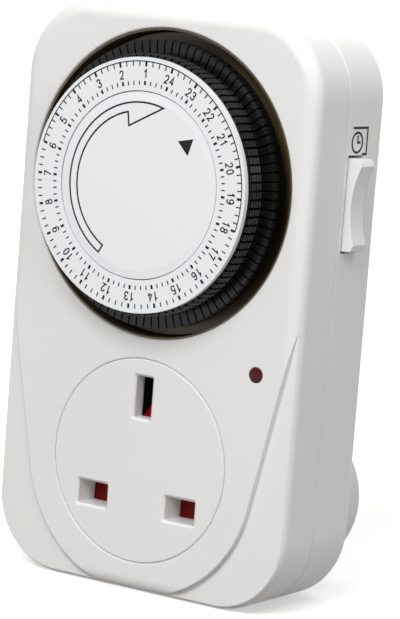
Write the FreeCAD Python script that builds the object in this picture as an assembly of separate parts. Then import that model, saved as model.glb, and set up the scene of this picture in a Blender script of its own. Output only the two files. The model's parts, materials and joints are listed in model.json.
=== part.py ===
"""Plug-in timer switch: a wall-socket adaptor with a 24-hour tappet dial above a 13 A socket face.

Frame: X right seen from the front, Y into the wall, Z up, millimetres. The origin is on the plug
face, midway between the live and neutral pins. A depth is measured from the front face towards
the wall, and the function at() turns it into a Y coordinate.
"""
import FreeCAD
import Part
import math
import os

# Case
side_margin = 4.3               # case beyond the dial's opening, at each side
top_margin = 4.3
dial_socket_gap = 4.4           # between the dial's opening and the socket face
pin_line_height = 19.0          # live and neutral line above the bottom edge
body_depth = 43.0               # front face to plug face
front_depth = 12.7              # front face to the parting line
rear_depth = 28.2               # front face to the flat rear
corner_radius = 16.0
edge_radius = 2.0               # of the front, and as much more as the panel is raised
rear_edge_radius = 3.0
wall = 2.2
part_line_chamfer = 0.2
panel_drop = 1.2                # lower corners lie this far behind the raised panel
panel_radius = 28.4
panel_side_drop = 23.0          # below the dial centre, where the panel's edge runs out at the side
panel_stretch = 1.5

# Standard plug and socket pattern
pin_pitch = 22.23               # live to neutral, and earth above their line
pin_width = 6.35
pin_height = 4.0
pin_length = 17.7
earth_width = 4.0
earth_height = 8.0
earth_length = 22.73
sleeve_length = 9.0
shank_side = 0.6                # a pin is this much thinner on each side inside its sleeve
pin_corner = 0.5
pin_tip_radius = 0.9
earth_tip_radius = 1.0
plug_lobe_radius = 16.3
plug_lobe_x = 12.9
plug_top_radius = 15.0
pin_tower_wall = 2.0

# Socket face
socket_radius = 21.6
socket_centre_z = 8.8
socket_gap = 0.08
socket_lip = 1.6
socket_lip_thickness = 1.2
socket_chamfer = 0.2            # along the joint between the socket face and the case
aperture_width = 7.4
aperture_height = 5.0
earth_aperture_width = 4.2
earth_aperture_height = 8.8
aperture_corner = 0.25
aperture_bevel = 0.5
tunnel_depth = 6.4
earth_tunnel_depth = 2.9
tunnel_wall = 1.1

# Shutter and its return spring
shutter_gap = 0.2
shutter_thickness = 2.0
shutter_half_width = 16.0
shutter_cover = 0.5             # how far the shutter reaches past an aperture
shutter_travel = 6.2
shutter_neck = 10.0
neck_gap = 2.2                  # from the neck up to the earth way
wedge_width = 3.6
wedge_gap = 0.3                 # behind the earth way
wedge_depth = 5.4
wedge_foot = 2.0                # of the wedge's slope, above and below the top of the neck
wedge_rise = 2.0
wedge_edge = 0.3
wedge_back_height = 3.5
spring_radius = 1.9
spring_wire = 0.45
spring_turns = 7
spring_floor_gap = 0.1
spring_seat_gap = 0.05
spring_offset = 0.6             # behind the middle of the shutter

# Contacts and their carrier
leaf_thickness = 0.8
leaf_gap = 4.3
leaf_margin = 0.6               # leaf past the flat pin at each side
earth_leaf_margin = 0.4
contact_front = 11.5
earth_contact_front = 13.6
contact_back = 20.8
cell_gap = 0.5
cell_wall = 1.1
cell_front = 9.0
earth_cell_front = 12.6
carrier_plate = 1.4
carrier_margin = 3.0
slot_side_gap = 0.2

# Dial stack
dial_opening_radius = 32.2
dial_proud = 7.8
face_thickness = 1.2
scale_width = 6.85
disc_gap = 0.2                  # between the turning scale and the fixed disc
disc_slope_width = 1.6          # the disc falls away a little towards its edge
disc_slope_drop = 0.15
disc_stub_inset = 1.5           # the disc's stub is this much thinner than the spindle
disc_stub_length = 5.0
disc_stub_gap = 0.05
collar_wall = 1.4
rim_chamfer = 0.3
liner_thickness = 0.35          # of the dark sleeve inside the opening
liner_gap = 0.05
liner_set_back = 0.1            # behind the rim's chamfer
collar_overlap = 0.8            # the opening's collar reaches this far behind the drum's flange
tappet_count = 96
tappets_per_group = 8
foot_gap = 2.4                  # between the feet and the edge of the opening
foot_reach = 3.05               # of a foot outside its column
foot_root = 0.2
foot_spacing_inner = 0.382      # free width between neighbours, at each end of a foot
foot_spacing_outer = 0.35
foot_bevel = 0.25
foot_top = -1.7                 # depths: negative stands proud of the front face
foot_bottom = 1.2
foot_clearance = 0.5            # between a pushed foot and the flange
column_thickness = 1.25
column_spacing = 0.419
column_top_gap = 0.1
tail_end = 5.0
tappet_travel = 2.5
tappet_gap = 0.15
grip_places = (0.8, 1.75, 2.7, 3.65)    # behind the scale
grip_height = 0.22
grip_half_width = 0.2
scale_inset = 0.5               # the scale's edge inside the columns' outer face
drum_gap = 0.3                  # between the drum and the columns
carrier_wall = 2.2
carrier_web = 1.4
web_gap = 0.35
land_overlap = 0.2
flange_gap = 0.8                # between the flange and the edge of the opening
flange_thickness = 1.2
spindle_radius = 3.5
bearing_gap = 0.2
hub_wall = 2.6

# Gears
dial_teeth = 96
dial_gear_inset = 1.2           # the dial gear's pitch circle inside the drum's outer face
dial_pinion_teeth = 12
train_module = 0.4
wheel_teeth = 50
rotor_teeth = 10
pressure_angle = 25.0
tooth_addendum = 0.8
tooth_dedendum = 1.1
tooth_backlash = 0.16
gear_face = 1.8
wheel_face = 1.2
gear_clearance = 0.4
train_angle = -60.0             # direction of the gear train from the dial centre
axle_radius = 1.0
axle_gap = 0.1
axle_tip = 0.4
shoulder_width = 1.0
shoulder_gap = 0.15
rotor_hole_gap = 0.4

# Mechanism plate, motor
plate_clearance = 0.5           # behind the wheel
plate_thickness = 1.5
plate_gap = 0.7
plate_margin = 2.5              # below the motor
plate_corner_radius = 3.0
motor_length = 9.2
motor_wall = 0.8
coil_inner_radius = 9.0
rotor_radius = 7.6
rotor_end_gap = 0.6
lead_seat_gap = 0.05            # between a lead's end and the can
lead_stub = 4.0                 # from the can's wall to a lead's first bend
lead_live_angle = -40.0
lead_neutral_angle = -140.0
lead_live_drop = 3.0
lead_bar_gap = 0.4
lead_plate_gap = 4.0
lead_cell_gap = 0.6
lead_live_bend = 1.0
lead_neutral_bend = 2.0

# Override rocker
rocker_pivot_inset = 3.5        # pivot this far inside the side face
rocker_drop = 0.5               # pivot below the dial centre
rocker_part_gap = 1.5           # rocker behind the parting line
rocker_width = 5.2
rocker_half_length = 9.55
rocker_top_proud = 3.2
rocker_bottom_proud = 2.7
rocker_hollow_proud = 1.4
rocker_back = 1.8
rocker_lip = 1.4
rocker_end_slope = 0.7
rocker_back_bevel = 1.5
rocker_window_gap = 0.45
rocker_top_gap = 0.1            # added to the window's gap above the rocker
rocker_room = 2.0
ear_thickness = 1.0
ear_half_height = 3.0
ear_gap = 0.3

# Switches
switch_width = 6.0
switch_depth = 7.0
switch_height = 18.0
switch_gap = 0.8                # between the motor and the switch block
nose_offset = 0.175             # of the follower from the middle of the tappets' tails
switch_drop = 17.0              # bottom of the block below the dial centre
bypass_height = 10.0
plunger_radius = 0.9
plunger_hole_gap = 0.1
plunger_plate_gap = 0.3
plunger_room = 3.0              # depth of a plunger's hole
plunger_stroke = 1.2
bypass_plunger_stroke = 1.3
contact_play = 0.3
bypass_plunger_above = 7.0
follower_drop = 14.0            # pivot below the dial centre
follower_rest_gap = 0.4
follower_thickness = 1.5
follower_width = 2.2
follower_pin_radius = 0.7
follower_pin_gap = 0.08
follower_eye_radius = 1.4
follower_tail = 1.6             # of the arm below its pivot
nose_depth = 1.4
nose_half_height = 1.3
nose_half_tip = 0.5
switch_plunger_drop = 4.5
lug_thickness = 1.0
lug_gap = 0.2
lug_half_height = 1.8
lug_front = 1.6

# Fixings
screw_side_inset = 9.0
screw_top_inset = 7.0
screw_bottom_inset = 8.7
screw_radius = 1.5
screw_head_radius = 2.9
screw_head_height = 1.8
screw_head_gap = 0.1
screw_head_sink = 0.3
screw_start = 2.0               # of the screw's tip behind the front wall
screw_boss_radius = 3.3
cross_half_length = 2.0
cross_half_width = 0.35
cross_depth = 1.2
post_angle = 31.5               # of the plate's posts, seen from the dial centre
post_clearance = 0.46           # between the collar and a post
post_radius = 2.3
small_screw_radius = 1.1
small_head_radius = 1.9
small_head_height = 1.1
small_screw_bite = 4.5
thread_gap = 0.05

# Indicator and conductors
neon_inset = 9.2                # from the side face
neon_drop = 35.9                # below the dial centre
neon_radius = 1.65
neon_gap = 0.05
neon_dome = 0.3
lamp_radius = 1.5
lamp_length = 5.8
resistor_radius = 1.1
resistor_length = 6.0
lead_radius = 0.7
thin_lead_radius = 0.3
thin_lead_bend = 0.8
thin_lead_depth = 1.3           # of its run behind the lamp
thin_lead_rise = 2.3
thin_lead_inset = 1.2           # from the end of the neutral tab
bar_thickness = 0.8
bar_width = 3.2
bar_inset = 0.4                 # of the switched strip inside the block
feed_half_width = 1.7
feed_grip = 2.5
pin_grip = 1.0
tab_reach = 9.0

# Values worked out from the sizes above
past = 1.0                      # a cutter runs this far past what it cuts
dial_z = socket_centre_z + socket_radius + dial_socket_gap + dial_opening_radius
half = dial_opening_radius + side_margin
body_width = 2 * half
body_bottom = -pin_line_height
body_top = dial_z + dial_opening_radius + top_margin
body_height = body_top - body_bottom
inner_half = half - wall
panel_side_z = dial_z - panel_side_drop
live_x = pin_pitch / 2
neutral_x = -pin_pitch / 2
foot_radius = dial_opening_radius - foot_gap
column_outer_radius = foot_radius - foot_reach
column_inner_radius = column_outer_radius - column_thickness
carrier_radius = column_inner_radius - drum_gap
scale_radius = column_outer_radius - scale_inset
scale_inner_radius = scale_radius - scale_width
centre_radius = scale_inner_radius - disc_gap
flange_radius = dial_opening_radius - flange_gap
tappet_angle = 2 * math.pi / tappet_count
column_width = tappet_angle * column_inner_radius - column_spacing
foot_width_inner = tappet_angle * (column_inner_radius + foot_root) - foot_spacing_inner
foot_width_outer = tappet_angle * foot_radius - foot_spacing_outer
face_back = face_thickness - dial_proud
flange_front = foot_bottom + tappet_travel + foot_clearance
flange_back = flange_front + flange_thickness
collar_depth = flange_back + collar_overlap
gear_front = tail_end + tappet_travel + gear_clearance
gear_back = gear_front + gear_face
wheel_front = gear_back + gear_clearance
wheel_back = wheel_front + wheel_face
plate_front = wheel_back + plate_clearance
plate_back = plate_front + plate_thickness
spindle_bore = spindle_radius + bearing_gap
dial_pitch_radius = carrier_radius - dial_gear_inset
dial_module = 2 * dial_pitch_radius / dial_teeth
train_reach = dial_module * (dial_teeth + dial_pinion_teeth) / 2
rotor_reach = train_module * (wheel_teeth + rotor_teeth) / 2
train_direction = (math.cos(math.radians(train_angle)), math.sin(math.radians(train_angle)))
train_x = train_reach * train_direction[0]
train_z = dial_z + train_reach * train_direction[1]
rotor_x = (train_reach - rotor_reach) * train_direction[0]
rotor_z = dial_z + (train_reach - rotor_reach) * train_direction[1]
plate_top_z = body_top - screw_top_inset - screw_boss_radius - plate_gap
shutter_front = tunnel_depth + shutter_gap
shutter_back = shutter_front + shutter_thickness
shutter_top = aperture_height / 2 + shutter_cover
shutter_bottom = -shutter_top
leaf_outer = leaf_gap / 2 + leaf_thickness
contact_half_width = pin_width / 2 + leaf_margin
tab_front = contact_back - leaf_thickness
carrier_back = contact_back + carrier_plate
bar_back = carrier_back + bar_thickness
floor_depth = rear_depth - wall
rocker_z = dial_z - rocker_drop
rocker_front = front_depth + rocker_part_gap
rocker_back_depth = rocker_front + rocker_width
rocker_pivot_x = half - rocker_pivot_inset
rocker_inner_x = rocker_pivot_x - rocker_back
switch_x = (column_inner_radius + column_outer_radius) / 2 + nose_offset
switch_left_x = switch_x - switch_width / 2
switch_right_x = switch_x + switch_width / 2
motor_radius = switch_left_x - switch_gap - rotor_x
plate_bottom_z = rotor_z - motor_radius - plate_margin
switch_front = plate_back
switch_back = switch_front + switch_depth
switch_bottom_z = dial_z - switch_drop
switch_top_z = switch_bottom_z + switch_height
switch_plunger_z = dial_z - switch_plunger_drop
bypass_plunger_z = rocker_z + bypass_plunger_above
bypass_plunger_depth = rocker_front + rocker_width / 2
follower_pivot_z = dial_z - follower_drop
nose_rest = tail_end + tappet_travel + follower_rest_gap
follower_front = nose_rest + nose_depth
follower_back = follower_front + follower_thickness
follower_axis = (follower_front + follower_back) / 2
screw_x = half - screw_side_inset
screw_places = [(x, z) for z in (body_top - screw_top_inset, body_bottom + screw_bottom_inset)
                for x in (-screw_x, screw_x)]
post_reach = dial_opening_radius + collar_wall + post_radius + post_clearance
post_x = post_reach * math.cos(math.radians(post_angle))
post_rise = post_reach * math.sin(math.radians(post_angle))
post_places = [(x, dial_z + z) for z in (-post_rise, post_rise) for x in (-post_x, post_x)]
neon_x = half - neon_inset
neon_z = dial_z - neon_drop
lamp_front = wall
lamp_back = lamp_front + lamp_length


def at(depth):
    """Y coordinate of a depth measured from the front face."""
    return depth - body_depth


def point(x, z, depth):
    return FreeCAD.Vector(x, at(depth), z)


def block(x0, x1, z0, z1, d0, d1):
    return Part.makeBox(x1 - x0, d1 - d0, z1 - z0, point(x0, z0, d0))


def rod(x, z, radius, d0, d1):
    return Part.makeCylinder(radius, d1 - d0, point(x, z, d0), FreeCAD.Vector(0, 1, 0))


def tube(x, z, inner, outer, d0, d1):
    return rod(x, z, outer, d0, d1).cut(rod(x, z, inner, d0 - past, d1 + past))


def cross_rod(x0, x1, z, depth, radius):
    """A round bar along X."""
    return Part.makeCylinder(radius, x1 - x0, point(x0, z, depth), FreeCAD.Vector(1, 0, 0))


def joined(first, *others):
    """One solid from solids that touch or overlap."""
    return first.fuse(list(others)).removeSplitter()


def cut_all(shape, cutters):
    return shape.cut(Part.makeCompound(cutters))


def rounded_wire(x, z, width, height, radius, depth):
    """A rectangle with round corners, centred on (x, z), at one depth."""
    a, b, r = width / 2, height / 2, radius
    s = r * math.sin(math.radians(45))
    edges = []
    ends = []
    for sx, sz in ((1, 1), (-1, 1), (-1, -1), (1, -1)):
        cx, cz = sx * (a - r), sz * (b - r)
        p = (cx + sx * r, cz)
        q = (cx, cz + sz * r)
        first, last = (p, q) if sx * sz > 0 else (q, p)
        ends.append((first, (cx + sx * s, cz + sz * s), last))
    for i, (first, middle, last) in enumerate(ends):
        arc = Part.Arc(*[point(x + u, z + w, depth) for u, w in (first, middle, last)])
        edges.append(arc.toShape())
        nxt = ends[(i + 1) % 4][0]
        if math.hypot(last[0] - nxt[0], last[1] - nxt[1]) > 1e-6:
            edges.append(Part.makeLine(point(x + last[0], z + last[1], depth),
                                       point(x + nxt[0], z + nxt[1], depth)))
    return Part.Wire(edges)


def rounded_block(x, z, width, height, radius, d0, d1):
    face = Part.Face(rounded_wire(x, z, width, height, radius, d0))
    return face.extrude(FreeCAD.Vector(0, d1 - d0, 0))


def prism(outline, d0, d1):
    """Straight prism along Y from (x, z) corners."""
    wire = Part.makePolygon([point(x, z, d0) for x, z in outline + outline[:1]])
    return Part.Face(wire).extrude(FreeCAD.Vector(0, d1 - d0, 0))


def side_prism(outline, x0, x1):
    """Straight prism along X from (depth, z) corners."""
    wire = Part.makePolygon([point(x0, z, d) for d, z in outline + outline[:1]])
    return Part.Face(wire).extrude(FreeCAD.Vector(x1 - x0, 0, 0))


def turned(outline, x, z):
    """A turned solid about a Y axis through (x, z) from (radius, depth) corners."""
    wire = Part.makePolygon([point(x + r, z, d) for r, d in outline + outline[:1]])
    return Part.Face(wire).revolve(point(x, z, 0), FreeCAD.Vector(0, 1, 0), 360)


def bend_wire(points, radius):
    """Straight runs joined by tangent arcs."""
    edges = []
    here = points[0]
    for before, corner, after in zip(points, points[1:], points[2:]):
        back = (before - corner).normalize()
        ahead = (after - corner).normalize()
        half_turn = back.getAngle(ahead) / 2
        reach = radius / math.tan(half_turn)
        start = corner + back * reach
        end = corner + ahead * reach
        middle_way = (back + ahead).normalize()
        middle = corner + middle_way * (radius / math.sin(half_turn) - radius)
        edges.append(Part.makeLine(here, start))
        edges.append(Part.Arc(start, middle, end).toShape())
        here = end
    edges.append(Part.makeLine(here, points[-1]))
    return Part.Wire(edges)


def lead(places, radius, bend):
    """A round wire through (x, z, depth) places."""
    points = [point(*p) for p in places]
    path = bend_wire(points, bend)
    start = points[0]
    section = Part.Wire(Part.makeCircle(radius, start, points[1] - start))
    return path.makePipeShell([section], True, False)


def gear(x, z, teeth, module, d0, d1, bore, first_tooth):
    """A spur gear with involute flanks, the first tooth pointing at first_tooth degrees."""
    pitch = module * teeth / 2
    base = pitch * math.cos(math.radians(pressure_angle))
    root = pitch - module * tooth_dedendum
    tip = pitch + module * tooth_addendum

    def involute(radius):
        a = math.acos(min(1.0, base / radius))
        return math.tan(a) - a

    def half_tooth(radius):
        middle = math.pi / (2 * teeth) - tooth_backlash / (2 * pitch)
        return middle + involute(pitch) - involute(max(radius, base))

    stations = [root, max(root + 0.01, (root + pitch) / 2), pitch, (pitch + tip) / 2, tip]
    outline = []
    for tooth in range(teeth):
        axis = math.radians(first_tooth) + 2 * math.pi * tooth / teeth
        for radius in stations:
            a = axis - half_tooth(radius)
            outline.append((x + radius * math.cos(a), z + radius * math.sin(a)))
        for radius in reversed(stations):
            a = axis + half_tooth(radius)
            outline.append((x + radius * math.cos(a), z + radius * math.sin(a)))
    return prism(outline, d0, d1).cut(rod(x, z, bore, d0 - past, d1 + past))


def case_block(d0, d1, radius):
    return rounded_block(0, (body_top + body_bottom) / 2, body_width, body_height, radius, d0, d1)


def soften(shape, depth, radius):
    """Round the outer edges that lie in the plane at one depth."""
    edges = [e for e in shape.Edges
             if abs(e.BoundBox.YMin - at(depth)) < 1e-4 and abs(e.BoundBox.YMax - at(depth)) < 1e-4]
    return shape.makeFillet(radius, edges)


def panel_region(d0, d1):
    """The raised front panel: full width above, drawn in tangent to a circle about the socket."""
    dx, dz = half, panel_side_z - socket_centre_z
    reach = math.hypot(dx, dz)
    a = math.atan2(dz, dx) - math.acos(panel_radius / reach)
    tx, tz = panel_radius * math.cos(a), socket_centre_z + panel_radius * math.sin(a)
    ox, oz = tx + (half - tx) * panel_stretch, tz + (panel_side_z - tz) * panel_stretch
    top = body_top + wall
    arc = Part.Arc(point(-tx, tz, d0), point(0, socket_centre_z - panel_radius, d0), point(tx, tz, d0))
    corners = [(tx, tz), (ox, oz), (ox, top), (-ox, top), (-ox, oz), (-tx, tz)]
    sides = [Part.makeLine(point(a, b, d0), point(c, d, d0))
             for (a, b), (c, d) in zip(corners, corners[1:])]
    return Part.Face(Part.Wire([arc.toShape()] + sides)).extrude(FreeCAD.Vector(0, d1 - d0, 0))


def rim_cut(x, z, radius, size):
    """The material that a chamfer takes off the front rim of a round hole."""
    return Part.makeCone(radius + 2 * size, radius, 2 * size, point(x, z, -size), FreeCAD.Vector(0, 1, 0))


def case_cavity(d0, d1):
    centre = (body_top + body_bottom) / 2
    return rounded_block(0, centre, body_width - 2 * wall, body_height - 2 * wall,
                         corner_radius - wall, d0, d1)


def chamfer_cut(depth, size):
    """Material outside a small chamfer at the parting line, one side of the depth."""
    outer = case_block(min(depth, depth + size), max(depth, depth + size), corner_radius)
    centre = (body_top + body_bottom) / 2
    small = rounded_wire(0, centre, body_width - 2 * abs(size), body_height - 2 * abs(size),
                         corner_radius - abs(size), depth)
    large = rounded_wire(0, centre, body_width, body_height, corner_radius, depth + size)
    return outer.cut(Part.makeLoft([small, large], True, True))


def front_shell():
    full = soften(case_block(0, front_depth, corner_radius), 0, edge_radius + panel_drop)
    low_corners = case_block(-past, panel_drop, corner_radius).cut(panel_region(-past, panel_drop))
    outer = full.cut(low_corners)
    shell = outer.cut(case_cavity(wall, front_depth + past))
    shell = shell.cut(chamfer_cut(front_depth, -part_line_chamfer))
    collar = rod(0, dial_z, dial_opening_radius + collar_wall, wall, collar_depth)
    bosses = [rod(x, z, screw_boss_radius, wall, front_depth) for x, z in screw_places]
    posts = [rod(x, z, post_radius, wall, plate_front) for x, z in post_places]
    neon_boss = rod(neon_x, neon_z, neon_radius + collar_wall, wall, lamp_back)
    shell = joined(shell, collar, neon_boss, *bosses, *posts)
    cutters = [rod(0, dial_z, dial_opening_radius, -past, collar_depth + past),
               rod(0, socket_centre_z, socket_radius, -past, wall + past),
               rim_cut(0, dial_z, dial_opening_radius, rim_chamfer),
               rim_cut(0, socket_centre_z, socket_radius, socket_chamfer),
               rod(neon_x, neon_z, neon_radius, -past, lamp_back + past)]
    cutters += [rod(x, z, screw_radius + thread_gap, wall + screw_start / 2, front_depth + past)
                for x, z in screw_places]
    cutters += [rod(x, z, small_screw_radius + thread_gap, plate_front - small_screw_bite - screw_start / 4,
                    plate_front + past) for x, z in post_places]
    return cut_all(shell, cutters)


def plug_outline(d0, d1, inset=0.0):
    """The plug boss: three round lobes joined by their common tangents."""
    lobes = [(plug_lobe_x, 0.0, plug_lobe_radius - inset), (0.0, pin_pitch, plug_top_radius - inset)]
    (lx, lz, lr), (ux, uz, ur) = lobes
    reach = math.hypot(ux - lx, uz - lz)
    a = math.atan2(uz - lz, ux - lx) - math.acos((lr - ur) / reach)
    lower = (lx + lr * math.cos(a), lz + lr * math.sin(a))
    upper = (ux + ur * math.cos(a), uz + ur * math.sin(a))
    middle = prism([(-lx, lz - lr), (lx, lz - lr), lower, upper, (-upper[0], upper[1]),
                    (-lower[0], lower[1])], d0, d1)
    rounds = [rod(lx, lz, lr, d0, d1), rod(-lx, lz, lr, d0, d1), rod(ux, uz, ur, d0, d1)]
    return joined(middle, *rounds)


def pin_blocks(grow, d0, d1):
    """Blocks round the three pins, each side this much larger than the pin."""
    w, h = pin_width / 2 + grow, pin_height / 2 + grow
    ew, eh = earth_width / 2 + grow, earth_height / 2 + grow
    live = block(live_x - w, live_x + w, -h, h, d0, d1)
    neutral = block(neutral_x - w, neutral_x + w, -h, h, d0, d1)
    earth = block(-ew, ew, pin_pitch - eh, pin_pitch + eh, d0, d1)
    return [live, neutral, earth]


def rear_shell():
    outer = soften(case_block(front_depth, rear_depth, corner_radius), rear_depth, rear_edge_radius)
    outer = joined(outer, plug_outline(floor_depth, body_depth))
    shell = outer.cut(case_cavity(front_depth - past, floor_depth))
    shell = shell.cut(chamfer_cut(front_depth, part_line_chamfer))
    shell = shell.cut(plug_outline(floor_depth - past, body_depth - wall, wall))
    towers = pin_blocks(pin_tower_wall, carrier_back, body_depth - wall)
    towers[0] = towers[0].common(block(0, half, -half, half, bar_back, body_depth))
    bosses = [rod(x, z, screw_boss_radius, front_depth, floor_depth + wall / 2) for x, z in screw_places]
    ear_front = rocker_front - ear_gap - ear_thickness
    ear_rear = rocker_back_depth + ear_gap
    ears = [block(rocker_inner_x, inner_half + past, rocker_z - ear_half_height, rocker_z + ear_half_height,
                  d, d + ear_thickness) for d in (ear_front, ear_rear)]
    shell = joined(shell, *bosses, *ears, *towers)
    window = block(inner_half - ear_gap, half + past, rocker_z - rocker_half_length - rocker_window_gap,
                   rocker_z + rocker_half_length + rocker_window_gap + rocker_top_gap,
                   rocker_front - ear_gap, rocker_back_depth + ear_gap)
    cutters = [window] + pin_blocks(0, body_depth - wall, body_depth + past)
    cutters += pin_blocks(-shank_side, carrier_back - past, body_depth - wall + past)
    cutters.append(rod(rocker_pivot_x, rocker_z, axle_radius, ear_front, ear_rear + ear_thickness))
    head_front = rear_depth - screw_head_height
    for x, z in screw_places:
        cutters.append(rod(x, z, screw_radius + thread_gap, front_depth - past, rear_depth + past))
        cutters.append(rod(x, z, screw_head_radius + screw_head_gap, head_front, rear_depth + past))
    return cut_all(shell, cutters)


def aperture(x, z, width, height):
    """The straight way through the socket face with its bevelled mouth."""
    way = rounded_block(x, z, width, height, aperture_corner, -past, tunnel_depth + past)
    mouth = [rounded_wire(x, z, width + 2 * g, height + 2 * g, aperture_corner + g, d)
             for g, d in ((2 * aperture_bevel, -aperture_bevel), (0, aperture_bevel))]
    return way.fuse(Part.makeLoft(mouth, True, True))


def socket_face():
    radius = socket_radius - socket_gap
    plate = rod(0, socket_centre_z, radius, socket_chamfer, wall)
    edge = Part.makeCone(radius - socket_chamfer, radius, socket_chamfer, point(0, socket_centre_z, 0),
                         FreeCAD.Vector(0, 1, 0))
    lip = rod(0, socket_centre_z, socket_radius + socket_lip, wall, wall + socket_lip_thickness)
    w, h = aperture_width + 2 * tunnel_wall, aperture_height + 2 * tunnel_wall
    ew, eh = earth_aperture_width + 2 * tunnel_wall, earth_aperture_height + 2 * tunnel_wall
    places = [(live_x, 0, w, h, tunnel_depth), (neutral_x, 0, w, h, tunnel_depth),
              (0, pin_pitch, ew, eh, earth_tunnel_depth)]
    tunnels = [rounded_block(x, z, a, b, aperture_corner + tunnel_wall, wall, back)
               for x, z, a, b, back in places]
    face = joined(plate, edge, lip, *tunnels)
    ways = [aperture(live_x, 0, aperture_width, aperture_height),
            aperture(neutral_x, 0, aperture_width, aperture_height),
            aperture(0, pin_pitch, earth_aperture_width, earth_aperture_height)]
    return cut_all(face, ways)


def plug_pin(x):
    w, h = pin_width / 2, pin_height / 2
    s = shank_side
    inner_end = bar_back if x > 0 else contact_back
    shank = block(x - w + s, x + w - s, -h + s, h - s, inner_end, body_depth + sleeve_length)
    tip_end = body_depth + pin_length
    blade = rounded_block(x, 0, pin_width, pin_height, pin_corner, body_depth + sleeve_length, tip_end)
    return joined(shank, soften(blade, tip_end, pin_tip_radius))


def pin_sleeve(x):
    w, h = pin_width / 2, pin_height / 2
    s = shank_side
    outer = block(x - w, x + w, -h, h, body_depth - wall, body_depth)
    outer = joined(outer, rounded_block(x, 0, pin_width, pin_height, pin_corner, body_depth,
                                        body_depth + sleeve_length))
    return outer.cut(block(x - w + s, x + w - s, -h + s, h - s, body_depth - wall - past,
                           body_depth + sleeve_length + past))


def earth_pin():
    w, h = earth_width / 2, earth_height / 2
    s = shank_side
    shank = block(-w + s, w - s, pin_pitch - h + s, pin_pitch + h - s, contact_back, body_depth - wall)
    seat = block(-w, w, pin_pitch - h, pin_pitch + h, body_depth - wall, body_depth)
    tip_end = body_depth + earth_length
    blade = rounded_block(0, pin_pitch, earth_width, earth_height, pin_corner, body_depth, tip_end)
    return joined(shank, seat, soften(blade, tip_end, earth_tip_radius))


def flat_contact(x, tab):
    """A folded clip with a leaf above and below the pin; tab is its reach to one side."""
    w = contact_half_width
    back = block(x - w, x + w, -leaf_outer, leaf_outer, tab_front, contact_back)
    upper = block(x - w, x + w, leaf_gap / 2, leaf_outer, contact_front, contact_back)
    lower = block(x - w, x + w, -leaf_outer, -leaf_gap / 2, contact_front, contact_back)
    pieces = [upper, lower]
    if tab:
        reach = x + math.copysign(w + abs(tab), tab)
        pieces.append(block(min(x, reach), max(x, reach), -bar_width / 2, bar_width / 2,
                            tab_front, contact_back))
    return joined(back, *pieces)


def earth_contact():
    h = earth_height / 2 + earth_leaf_margin
    z0, z1 = pin_pitch - h, pin_pitch + h
    back = block(-leaf_outer, leaf_outer, z0, z1, tab_front, contact_back)
    leaves = [block(leaf_gap / 2, leaf_outer, z0, z1, earth_contact_front, contact_back),
              block(-leaf_outer, -leaf_gap / 2, z0, z1, earth_contact_front, contact_back)]
    return joined(back, *leaves)


def contact_carrier():
    """The moulded tray that holds the three contacts."""
    w = contact_half_width + cell_gap
    h = leaf_outer + cell_gap
    ew, eh = leaf_outer + cell_gap, earth_height / 2 + earth_leaf_margin + cell_gap
    cells = []
    rooms = []
    for x, z, a, b, front in ((live_x, 0, w, h, cell_front), (neutral_x, 0, w, h, cell_front),
                              (0, pin_pitch, ew, eh, earth_cell_front)):
        aw, bw = a + cell_wall, b + cell_wall
        cells.append(block(x - aw, x + aw, z - bw, z + bw, front, carrier_back))
        rooms.append(block(x - a, x + a, z - b, z + b, front - past, contact_back))
    m = carrier_margin
    plate = block(neutral_x - w - m, live_x + w + m, -h - m, pin_pitch + eh + m, contact_back, carrier_back)
    holes = pin_blocks(-shank_side, contact_back - past, carrier_back + past)[1:]
    side = bar_width / 2 + slot_side_gap
    slots = [block(live_x, live_x + w + cell_wall + past, -side, side, tab_front - bar_thickness,
                   contact_back),
             block(neutral_x - w - cell_wall - past, neutral_x, -side, side, tab_front, contact_back)]
    return cut_all(joined(plate, *cells), rooms + holes + slots)


def shutter():
    """The crossbar over the live and neutral ways, its neck, and the wedge that the earth pin pushes."""
    bar = block(-shutter_half_width, shutter_half_width, shutter_bottom, shutter_top,
                shutter_front, shutter_back)
    neck_top = pin_pitch - earth_height / 2 - neck_gap
    neck = block(-shutter_neck / 2, shutter_neck / 2, shutter_top, neck_top, shutter_front, shutter_back)
    wedge_top = neck_top + shutter_travel + wedge_rise
    back = shutter_front + wedge_depth
    front = max(earth_tunnel_depth, wall + socket_lip_thickness) + wedge_gap
    wedge = side_prism([(front, neck_top - wedge_foot), (front, neck_top + wedge_foot),
                        (back - wedge_edge, wedge_top), (back, wedge_top),
                        (back, wedge_top - wedge_back_height), (shutter_back, neck_top - wedge_foot)],
                       -wedge_width / 2, wedge_width / 2)
    return joined(bar, neck, wedge)


def shutter_spring():
    """A coil between the bottom wall and the crossbar."""
    bottom = body_bottom + wall + spring_wire + spring_floor_gap
    top = shutter_bottom - spring_wire - spring_seat_gap
    helix = Part.makeHelix((top - bottom) / spring_turns, top - bottom, spring_radius)
    start = FreeCAD.Vector(spring_radius, 0, 0)
    section = Part.Wire(Part.makeCircle(spring_wire, start, FreeCAD.Vector(0, 1, 0.3)))
    coil = Part.Wire(helix).makePipeShell([section], True, True)
    coil.translate(point(0, bottom, (shutter_front + shutter_back) / 2 + spring_offset))
    return coil


def neon_lens():
    body = rod(neon_x, neon_z, neon_radius - neon_gap, 0, lamp_front)
    dome_ball = (neon_radius ** 2 + neon_dome ** 2) / (2 * neon_dome)
    ball = Part.makeSphere(dome_ball, point(neon_x, neon_z, dome_ball - neon_dome))
    cap = ball.common(rod(neon_x, neon_z, neon_radius - neon_gap, -neon_dome, lamp_front / 2))
    return joined(body, cap)


def neon_lamp():
    return rod(neon_x, neon_z, lamp_radius, lamp_front, lamp_back)


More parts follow.
